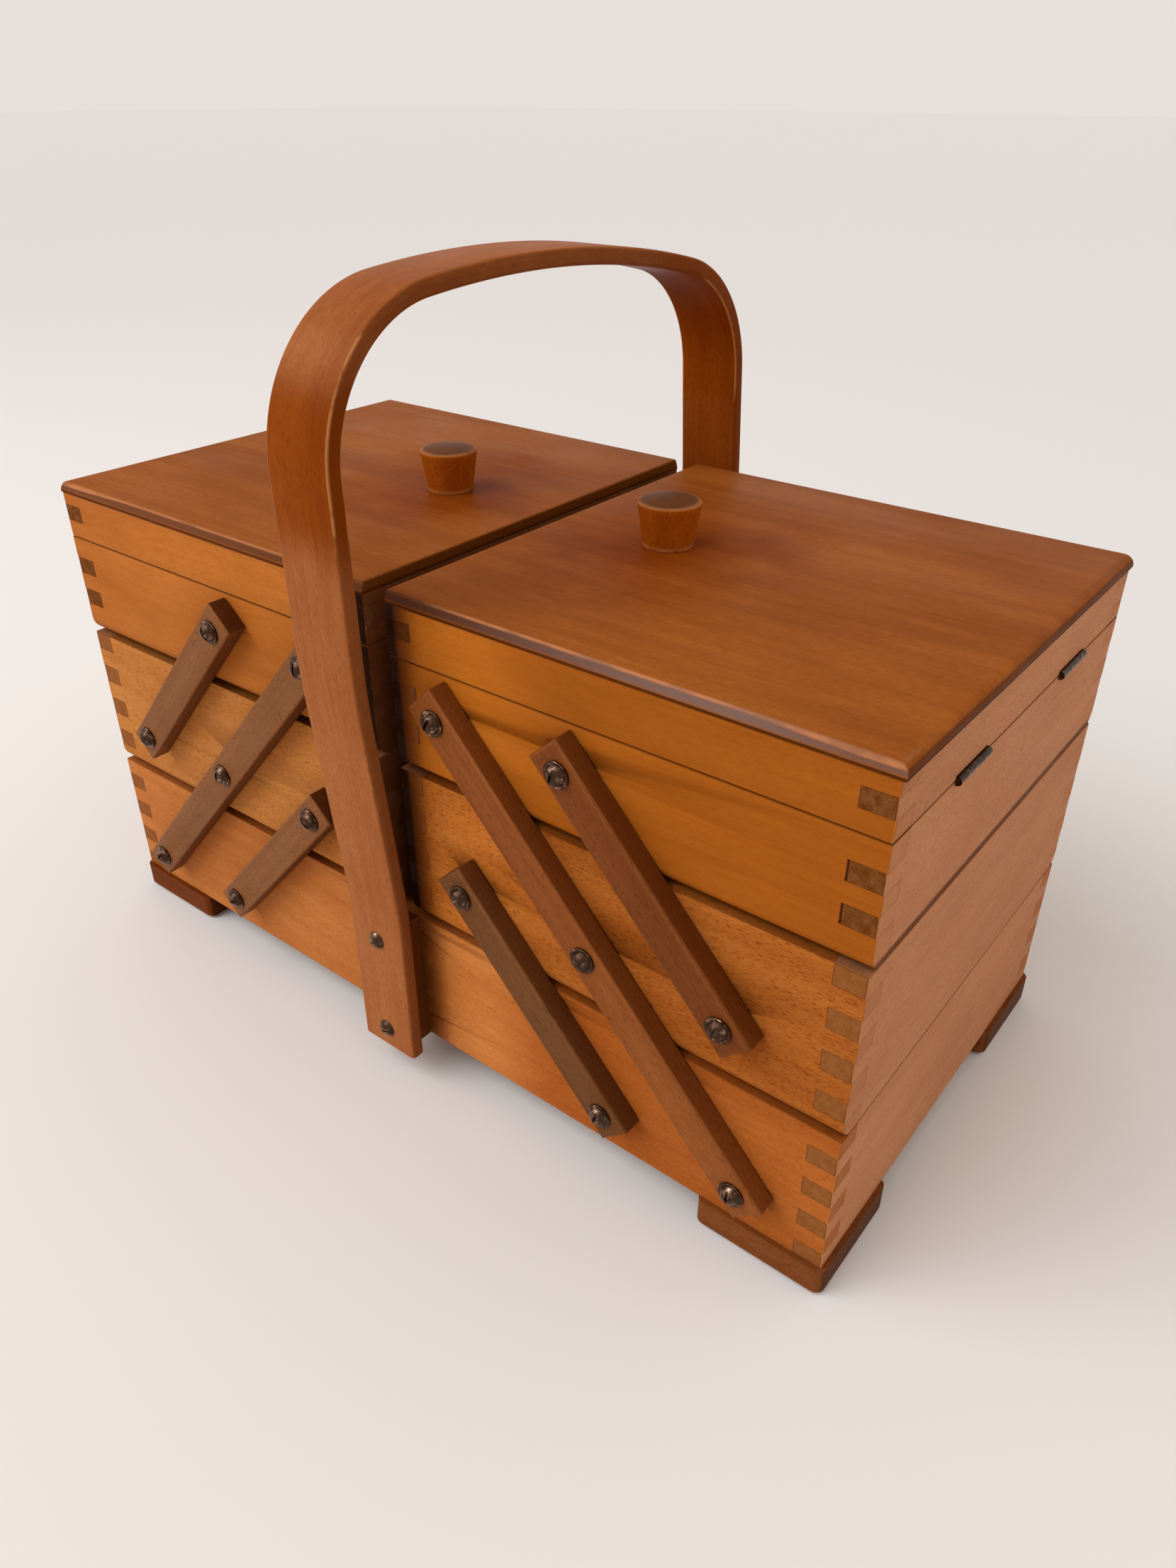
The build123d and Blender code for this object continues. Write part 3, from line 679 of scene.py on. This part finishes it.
def base_colour(finish):
    """A finish's node tree, the socket of its colour and what feeds it."""
    socket = finish.node_tree.nodes["Principled BSDF"].inputs["Base Color"]
    return finish.node_tree, socket, socket.links[0].from_socket


def painted_light_beside_hoop(finish, strength):
    """Painted light on the boards beside the hoop, on the carrier's right side: a paler colour that lifts the
    shade of the hoop's leg.
    """
    tree, socket, colour = base_colour(finish)
    across = axes(tree, add(tree, "ShaderNodeTexCoord").outputs["Object"])[0]
    begins, brightest, ends = painted_light_stretch
    beside = times(tree, window(tree, across, begins, brightest, 0.0, strength),
                   window(tree, across, brightest, ends, 1.0, 0.0))
    tree.links.new(mixed(tree, beside, colour, painted_light_tint, "MULTIPLY"), socket)


def make_tier(tier, looks, sides, ends, soiled_and_shaded, lower_seam, deepened=None):
    """The boards of one tier, their corners eased along the outer edges of the whole box.

    The looks are those of the side boards and of the end boards; the lower seam is (reach, strength).
    """
    low, high = joint_box(sides + ends)
    # dark bands at the lower and upper seams: soil, and painted shade in the seams' gaps
    seams = [(low[2], *lower_seam), (high[2], seam_reach, 0.6)]
    if "lid" in tier:
        high[2] = np.inf                     # the rim's top edges lie under the lid's top board
    test = on_outer_edge(low, high)
    for board in sides:
        finish = wood(board, looks[0], ALONG_X, soiled_and_shaded=soiled_and_shaded, seams=seams, deepened=deepened)
        # painted light beside the hoop, on the right half and the base
        if not tier.startswith("left"):
            painted_light_beside_hoop(finish, 0.45 if tier == "base" else 0.9)
        eased(board, test, corner_ease, finish, wear=0.25, fingers=0)
    for board in ends:
        look = "inner_ends" if "inner" in board else looks[1]
        finish = wood(board, look, ALONG_Y, soiled_and_shaded=soiled_and_shaded, seams=seams)
        eased(board, test, corner_ease, finish, wear=0.25, fingers=1)


def aged_under_the_arms(tree, place):
    """Mask of the base box from beside its middle to its right corner, where it eases a little."""
    across = axes(tree, place)[0]
    begins, full, eases, weaker = aged_stretch
    return times(tree, window(tree, across, begins, full, 0.0, 0.65),
                 window(tree, across, eases, weaker, 1.0, 0.8))


def aged_round(knob):
    """Mask of the cloudy patch that hands have left round a knob."""
    low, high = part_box(knob)
    centre = ((low.x + high.x) / 2, (low.y + high.y) / 2, high.z)

    def mask(tree, place):
        offset = vectors(tree, "SUBTRACT", place, centre)[0]
        flattened = vectors(tree, "MULTIPLY", offset, (1, 0.8, 0))[0]
        away = vectors(tree, "LENGTH", flattened)["Value"]
        swirl = noise(tree, stretched(tree, place, 22.0, 30.0), detail=3.0, roughness=0.6)
        edge = plus(tree, away, times(tree, swirl, knob_patch_swirl))
        return window(tree, edge, *knob_patch, 0.75, 0.0)
    return mask


def finish_bevels(finish, lid_top, by_the_hoop, halfway, at_the_corner):
    """Painted reflection and wear of the old varnish on a lid's long bevels.

    The painted reflection is a band that changes colour away from the hoop, above the dark lip. The bevel's
    upper edge is worn to pale wood, in a line that widens towards the corner.
    """
    low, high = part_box(lid_top)
    tree, socket, varnish = base_colour(finish)
    places = add(tree, "ShaderNodeTexCoord").outputs
    across, _, height = axes(tree, places["Object"])
    bevel = facing(tree, places["Normal"], 1, 0.45, 0.85, 0.9)
    away = maths(tree, "ABSOLUTE", across)
    last_stretch = window(tree, away, *reflection_corner)
    colour = mixed(tree, window(tree, away, *reflection_stretch), (*by_the_hoop, 1), (*halfway, 1))
    colour = mixed(tree, last_stretch, colour, (*at_the_corner, 1))
    above_lip = window(tree, height, *[low.z + rise for rise in lip_rise])
    # painted reflection on the bevel, above the lip
    reflected = mixed(tree, times(tree, bevel, above_lip), varnish, colour)
    spots = noise(tree, stretched(tree, places["Object"], 70.0, 200.0))
    patches = window(tree, spots, 0.3, 0.55, 0.45, 1.0)
    widened = plus(tree, height, times(tree, last_stretch, worn_widening))
    edge = times(tree, window(tree, widened, *[high.z - drop for drop in worn_drop]), patches)
    edge = times(tree, edge, window(tree, away, 15 * MM, 50 * MM, 0.15, 1.0))
    tree.links.new(mixed(tree, times(tree, bevel, edge), reflected, worn_bevel), socket)


def make_boards():
    """The base box, and the trays and the lid of each half."""
    make_tier("base", ("side_boards", "end_boards"), ["base_front_board", "base_rear_board"],
              ["left_base_end", "right_base_end"], base_soil_and_shade, (seam_reach, 0.7), aged_under_the_arms)
    dress("base_bottom", wood("base_bottom", "tray_bottoms", ALONG_X))
    for side in SIDES:
        for level, end_look, lower_seam in (("middle", "end_boards", (seam_reach, 0.5)),
                                            ("upper", "upper_ends", (upper_seam_reach, 0.85))):
            tier = f"{side}_{level}"
            make_tier(tier, (f"{tier}_sides", end_look), [f"{tier}_front_board", f"{tier}_rear_board"],
                      [f"{tier}_outer_end", f"{tier}_inner_end"], trays_soil_and_shade, lower_seam)
            dress(f"{tier}_bottom", wood(f"{tier}_bottom", "tray_bottoms", ALONG_X))
        dress(f"{side}_upper_divider", wood(f"{side}_upper_divider", "tray_bottoms", ALONG_Y))
        make_tier(f"{side}_lid", (f"{side}_upper_sides", "upper_ends"), [f"{side}_lid_rim_sides"],
                  [f"{side}_lid_rim_ends"], trays_soil_and_shade, (seam_reach, 0.5))
        top = f"{side}_lid_top_board"
        seam = [(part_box(top)[0].z, lid_seam_reach, 0.9)]
        finish = wood(top, "lid_boards", ALONG_X, seams=seam, deepened=aged_round(f"{side}_knob"))
        finish_bevels(finish, top, *BEVEL_REFLECTION[side])
        eased(top, longer_than(lid_long_edge), rim_ease, finish, wear=0.9)


# ================================================================ arms, spacers and feet
pivots = {joint["name"]: Vector(joint["pos_m"]) for joint in frame["joints"]}


def make_arms():
    """The arms: their grain runs along them, and all but their front and rear faces are darker with painted
    shade.
    """
    for side in SIDES:
        run = pivots[f"{side}_upper_tray_level"] - pivots[f"{side}_swing"]
        grain = (0.0, atan2(run.z, run.x), 0.0)
        for arms in ("long_arms", "lower_short_arms", "upper_short_arms"):
            look = "left_arms" if side == "left" else arms
            name = f"{side}_{arms}"
            # painted shade on the arms' sides
            finish = wood(name, look, grain, shaded_faces=(1, 0.8, 0.3, 0.4))
            eased(name, longer_than(arm_long_edge), arm_ease, finish, wear=0.3)


def left_feet_painted_shade(tree, place):
    """Mask of painted shade on the left feet, which are darker than the right ones."""
    return window(tree, axes(tree, place)[0], *feet_stretch, 0.8, 0.0)


def make_feet_and_spacers():
    """The corner feet, the left ones darker with painted shade, and the blocks between the base box and the
    hoop, dark with painted shade.
    """
    dress("corner_feet", wood("corner_feet", "feet", ALONG_X, deepened=left_feet_painted_shade))
    finish = wood("handle_spacers", "blocks", ALONG_Z)
    eased("handle_spacers", longer_than(arm_long_edge), arm_ease, finish, wear=0.2)


# ================================================================ hoop handle
def hoop_side(start_y, base_z, top_z, lean, crown_out):
    """One half of the hoop's centre line, from the foot to where the crown begins.

    Straight foot, a run that flares out by the flare over the flare's height, a leaning run, and
    the shoulder: an arc that touches the leaning run and the crown's circle. The two corners of
    the flare are rounded by arcs tangent to their runs. Places are (distance out, height).
    """
    shoulder = handle_shoulder - handle_thickness / 2
    crown = handle_crown - handle_thickness / 2
    corner_low = np.array([start_y, base_z + handle_foot])
    corner_high = corner_low + (handle_flare, handle_flare_height)
    along = np.array([sin(lean), cos(lean)])
    out = np.array([cos(lean), -sin(lean)])
    crown_centre = np.array([crown_out, top_z - crown])
    start = corner_high - shoulder * out
    offset = start - crown_centre
    half_b = offset @ along
    climb = -half_b + sqrt(half_b ** 2 - (offset @ offset - (crown - shoulder) ** 2))
    centre = start + climb * along
    up = (centre - crown_centre) / np.linalg.norm(centre - crown_centre)
    leg_top = centre + shoulder * out
    points = [np.array([[start_y, base_z]])]
    for before, corner, after, radius in (((start_y, base_z), corner_low, corner_high, handle_low_bend),
                                          (corner_low, corner_high, leg_top, handle_high_bend)):
        points.append(rounded_corner(np.array(before), corner, after, radius, 6))
    points.append(arc(centre, shoulder, atan2(out[1], out[0]), atan2(up[1], up[0]), 28))
    return np.concatenate(points), crown_centre, crown, atan2(up[1], up[0])


def rounded_corner(before, corner, after, radius, steps):
    """Arc tangent to two runs that meet at a corner, as points from the first run to the second."""
    arrive = (corner - before) / np.linalg.norm(corner - before)
    leave = (after - corner) / np.linalg.norm(after - corner)
    turn = arrive[0] * leave[1] - arrive[1] * leave[0]
    side = np.sign(turn) * np.array([-arrive[1], arrive[0]])
    angle = np.arccos(np.clip(arrive @ leave, -1, 1))
    centre = corner - arrive * radius * np.tan(angle / 2) + side * radius
    first = atan2(-side[1], -side[0])
    return arc(centre, radius, first, first + np.sign(turn) * angle, steps)


def hoop_section():
    """The bar's section, a rectangle with rounded edges, as (out of the hoop, across) places."""
    half_out, half_across = handle_thickness / 2 - handle_edge, handle_width / 2 - handle_edge
    corners = [(half_out, half_across, 0), (-half_out, half_across, pi / 2),
               (-half_out, -half_across, pi), (half_out, -half_across, 3 * pi / 2)]
    return np.concatenate([arc((out, across), handle_edge, start, start + pi / 2, 5)
                           for out, across, start in corners])


def hoop_line(leg_y, foot_z, top_z):
    """The hoop's centre line, up the front leg, over the crown and down the rear leg, as (Y, Z)."""
    front, centre, crown, first = hoop_side(leg_y, foot_z, top_z, handle_front_lean, handle_crown_forward)
    rear, _, _, last = hoop_side(leg_y, foot_z, top_z, handle_rear_lean, -handle_crown_forward)
    top = arc((-centre[0], centre[1]), crown, pi - first, last, 44)
    line = np.concatenate([front * (-1, 1), top[1:-1], rear[::-1]])
    apart = np.linalg.norm(np.diff(line, axis=0), axis=1) > touching
    return subdivided(line[np.concatenate([[True], apart])], handle_step)


def subdivided(line, longest):
    """A line of points with its long runs divided into steps no longer than a length."""
    pieces = []
    for start, end in zip(line[:-1], line[1:]):
        steps = max(1, int(np.ceil(np.linalg.norm(end - start) / longest)))
        pieces.append(start + (end - start) * np.linspace(0, 1, steps, endpoint=False)[:, None])
    return np.concatenate(pieces + [line[-1:]])


def make_hoop():
    """The hoop: its section carried along the centre line, P + out * normal + across * X.

    Its unrolled places are (length along the line, out, across), so that the grain follows the
    bend. The edges of its shoulders are marked as worn.
    """
    low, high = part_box("handle_hoop")
    spacer_low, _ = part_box("handle_spacers")
    top_z = high.z - handle_thickness / 2
    line = hoop_line(-spacer_low.y + handle_thickness / 2, low.z, top_z)
    step = np.gradient(line, axis=0)
    step /= np.linalg.norm(step, axis=1)[:, None]
    normal = np.stack([-step[:, 1], step[:, 0]], axis=-1)
    section = hoop_section()
    y = line[:, :1] + normal[:, :1] * section[:, 0]
    z = line[:, 1:] + normal[:, 1:] * section[:, 0]
    x = np.broadcast_to(section[:, 1], y.shape)
    vertices, quads = grid(np.stack([x, y, z], axis=-1), wrap_columns=True)
    rows, columns = len(line), len(section)
    ends = [list(range(columns)), list(range((rows - 1) * columns, rows * columns))[::-1]]
    mesh = bpy.data.meshes.new("hoop")
    mesh.from_pydata(vertices.tolist(), [], quads.tolist() + ends)

    length = np.concatenate([[0], np.cumsum(np.linalg.norm(np.diff(line, axis=0), axis=1))])
    unrolled = np.stack([np.repeat(length, columns), np.tile(section[:, 0], rows),
                         np.tile(section[:, 1], rows)], axis=-1)
    mesh.attributes.new("unrolled", "FLOAT_VECTOR", "POINT").data.foreach_set("vector", unrolled.ravel())
    half_sizes = np.array([handle_thickness, handle_width]) / 2
    on_edge = np.all(np.abs(section) > half_sizes - 0.55 * handle_edge, axis=1)
    at_shoulder = np.abs(line[:, 1] - (top_z - hoop_wear_drop)) < hoop_wear_reach
    wear = 0.7 * np.outer(at_shoulder, on_edge).ravel()
    mesh.attributes.new("worn", "FLOAT", "POINT").data.foreach_set("value", wear)
    mesh.update()
    close_up(mesh)
    # painted reflection, highlight and shade along the hoop, and painted shade on the bar's sides
    finish = wood("handle_hoop", "handle", ALONG_X, bent=True, deepened=hoop_painted_reflection_and_shade,
                  shaded_faces=(0, 0.5, 0.9, 0.45))
    put(bpy.data.objects.new("hoop", mesh), "base", finish, ["handle_hoop"])


def hoop_painted_reflection_and_shade(tree, place):
    """Mask of the upper legs and the rear leg, deeper in tone than the front foot and the crown. The paler
    foot and shoulders are painted reflection and highlight, and the darker rear leg is painted shade.
    """
    _, depth, height = axes(tree, place)
    legs = times(tree, window(tree, height, *legs_darken), window(tree, height, *legs_lighten, 1.0, 0.15))
    crown = window(tree, height, *crown_darkens, 0.0, 0.35)
    return largest(tree, [legs, crown, window(tree, depth, *rear_leg, 0.0, 0.9)])


# ================================================================ knobs
def make_knobs():
    """Turned knobs: a taper that widens upwards, an eased foot and rim, and a shallow dome."""
    rim_z = knob_height - knob_dome - knob_rim
    dome_radius = cap_radius(knob_top_radius - knob_rim, knob_dome)
    slope = np.linspace(0, 1, 10)[:, None]
    foot = arc((knob_base_radius - knob_foot, knob_foot), knob_foot, -pi / 2, 0, 3)
    taper_start, taper_end = np.array([[knob_base_radius, knob_foot], [knob_top_radius, rim_z]])
    side = taper_start * (1 - slope) + taper_end * slope
    rim = arc((knob_top_radius - knob_rim, rim_z), knob_rim, 0, pi / 2, 5)
    dome_edge = np.arcsin((knob_top_radius - knob_rim) / dome_radius)
    dome = arc((0, knob_height - dome_radius), dome_radius, pi / 2 - dome_edge, pi / 2, 10)
    profile = np.concatenate([[[0, 0]], foot, side[1:], rim[1:], dome[1:]])
    for side_name in SIDES:
        low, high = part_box(f"{side_name}_knob")
        seat = ((low.x + high.x) / 2, (low.y + high.y) / 2, low.z)
        shape = lifted(lathe(profile, sides=72), *seat)
        finish = wood(f"{side_name}_knob", "knobs", ALONG_Z)
        knob = as_piece(f"{side_name}_turned_knob", shape, f"{side_name}_lid", finish,
                        [f"{side_name}_knob"])
        places = np.empty(3 * len(knob.data.vertices))
        knob.data.vertices.foreach_get("co", places)
        x, y, height = (places.reshape(-1, 3) - seat).T
        radius = np.hypot(x, y)
        at_rim = (height > rim_z + knob_rim / 2) & (radius > knob_top_radius - 1.2 * knob_rim)
        wear = np.where(height < 2 * knob_foot, 0.6, 0.0) + np.where(at_rim, 0.35, 0.0)
        knob.data.attributes.new("worn", "FLOAT", "POINT").data.foreach_set("value", wear)


# ================================================================ screws
def washer():
    """Flat ring with eased edges, its section turned about Z."""
    inner, outer, top = washer_bore, washer_radius, washer_thickness
    flat_to, wall_to = outer - washer_ease, top - washer_ease
    profile = [(inner, 0), (flat_to, 0), (outer, washer_ease), (outer, wall_to), (flat_to, top), (inner, top)]
    return lathe(profile, sides=40, closed=True)


def screws_at(places, seat_y, head, with_washers=True):
    """Heads, each turned to its own slot angle, on the front and rear faces."""
    shapes = []
    for x, z in places:
        for outward in (-1, 1):
            seat = outward * seat_y
            shapes.append(on_face(turned(head, shuffle.uniform(0, pi)), x, z, seat, outward))
            if with_washers:
                shapes.append(on_face(washer(), x, z, seat - outward * washer_thickness, outward))
    return joined(shapes)


def make_screws():
    """The roundheads of the pivots, with their washers, and those of the handle."""
    head = slotted_head(screw_head_radius, screw_head_height, slot_width, slot_depth)
    seat_y = -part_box("base_pivot_screws")[0].y - screw_head_height
    base_places = []
    for side in SIDES:
        long_base, long_middle, long_upper, lower_base, upper_middle = [
            pivots[f"{side}_{name}"] for name in
            ("swing", "middle_tray_level", "upper_tray_level", "lower_arm_turn", "upper_arm_turn")]
        lower_middle = lower_base + long_middle - long_base
        upper_upper = upper_middle + long_upper - long_middle
        base_places += [(place.x, place.z) for place in (long_base, lower_base)]
        for level, places in (("middle", (long_middle, lower_middle, upper_middle)),
                              ("upper", (long_upper, upper_upper))):
            shape = screws_at([(place.x, place.z) for place in places], seat_y, head)
            as_piece(f"{side}_{level}_roundheads", shape, f"{side}_{level}_tray",
                     screw_metal, [f"{side}_{level}_pivot_screws"])
    as_piece("base_roundheads", screws_at(base_places, seat_y, head), "base", screw_metal,
             ["base_pivot_screws"])

    low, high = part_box("handle_screws")
    handle_head = slotted_head(handle_screw_radius, handle_screw_height, handle_slot_width, handle_slot_depth)
    places = [(0, low.z + handle_screw_radius), (0, high.z - handle_screw_radius)]
    shape = screws_at(places, high.y - handle_screw_height, handle_head, with_washers=False)
    as_piece("handle_roundheads", shape, "base", screw_metal, ["handle_screws"])


def make_hinge_screws():
    """Flush screws of the hinge leaves, three to a leaf, on the faces that open."""
    head = slotted_head(leaf_screw_radius, leaf_screw_height, leaf_slot_width, leaf_slot_depth,
                        columns=4, rows=8)
    for side, way in SIDES.items():
        for leaves, body, board, flip in (("hinge_tray_leaves", "upper_tray", "upper_outer_end", 1),
                                          ("hinge_lid_leaves", "lid", "lid_rim_ends", -1)):
            low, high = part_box(f"{side}_{leaves}")
            board_low, board_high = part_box(f"{side}_{board}")
            face_z = board_high.z if flip == 1 else board_low.z
            x = (low.x if way == 1 else high.x) + way * leaf_screw_inset
            hinge_y = high.y - hinge_length / 2
            places = [hinge + step * leaf_screw_spacing
                      for hinge in (-hinge_y, hinge_y) for step in (-1, 0, 1)]
            shapes = [lifted(turned(head, shuffle.uniform(0, pi)), x, y, face_z, flip) for y in places]
            as_piece(f"{side}_{leaves}_screws", joined(shapes), f"{side}_{body}", hinge_metal)


# ================================================================ stage
def make_floor():
    """A plain pale floor."""
    bpy.ops.mesh.primitive_plane_add(size=40, location=(0, 0, 0))
    floor = bpy.context.object
    floor.name = "floor"
    material, _, shader = new_material("pale floor")
    shader.inputs["Base Color"].default_value = (0.80, 0.755, 0.715, 1)
    shader.inputs["Roughness"].default_value = 0.6
    shader.inputs["Specular IOR Level"].default_value = 0.2
    floor.data.materials.append(material)


def make_lights():
    """Soft daylight from two sides and a pale room; a sun's size is its angle in degrees."""
    for name, kind, place, size, strength, colour in (
            ("window", "SUN", (-0.5, -0.9, 1.1), 45, 1.32, (0.76, 0.87, 1.0)),
            ("near window", "AREA", (-1.1, -1.0, 1.2), 1.2, 9.0, (1.0, 0.98, 0.95)),
            ("room", "SUN", (1.0, 0.3, 0.9), 80, 0.35, (1.0, 0.95, 0.9))):
        data = bpy.data.lights.new(name, kind)
        data.energy = strength
        data.color = colour
        if kind == "SUN":
            data.angle = radians(size)
        else:
            data.size = size
        lamp = bpy.data.objects.new(name, data)
        lamp.location = place
        lamp.rotation_euler = Vector(place).to_track_quat("Z", "Y").to_euler()
        bpy.context.scene.collection.objects.link(lamp)
    world = bpy.data.worlds.new("pale room")
    bpy.context.scene.world = world
    world.use_nodes = True
    tree = world.node_tree
    sky = tree.nodes["Background"]
    sky.inputs["Color"].default_value = (1.0, 0.93, 0.87, 1)
    sky.inputs["Strength"].default_value = 0.64
    backdrop = add(tree, "ShaderNodeBackground", {"Color": (0.79, 0.745, 0.715, 1), "Strength": 1.0})
    rays = add(tree, "ShaderNodeLightPath").outputs
    seen = largest(tree, [rays["Is Camera Ray"], rays["Is Glossy Ray"], rays["Is Transmission Ray"]])
    choice = add(tree, "ShaderNodeMixShader", {0: seen, 1: sky.outputs[0], 2: backdrop.outputs[0]})
    tree.links.new(choice.outputs[0], tree.nodes["World Output"].inputs["Surface"])


def make_camera():
    """A camera above and before the carrier's right front corner, looking down on it."""
    data = bpy.data.cameras.new("camera")
    data.sensor_fit = "VERTICAL"
    data.sensor_height = 36.0
    data.lens = 26.225
    data.clip_start = 0.01
    camera = bpy.data.objects.new("camera", data)
    camera.location = (0.305924, -0.366690, 0.386798)
    camera.rotation_euler = Euler((radians(58.53207), radians(-0.08657), radians(38.03513)), "XYZ")
    bpy.context.scene.collection.objects.link(camera)
    bpy.context.scene.camera = camera


screw_metal = metal("darkened_screws", "screws")
hinge_metal = metal("darkened_hinges", "hinges")
make_boards()
make_arms()
make_feet_and_spacers()
make_hoop()
make_knobs()
make_screws()
make_hinge_screws()
for side in SIDES:
    for node in ("hinge_tray_leaves", "hinge_lid_leaves", "hinge_pins"):
        dress(f"{side}_{node}", hinge_metal)
    dress(f"{side}_knob_screw", screw_metal)
make_floor()
make_lights()
make_camera()
bpy.context.scene.view_settings.view_transform = "Standard"
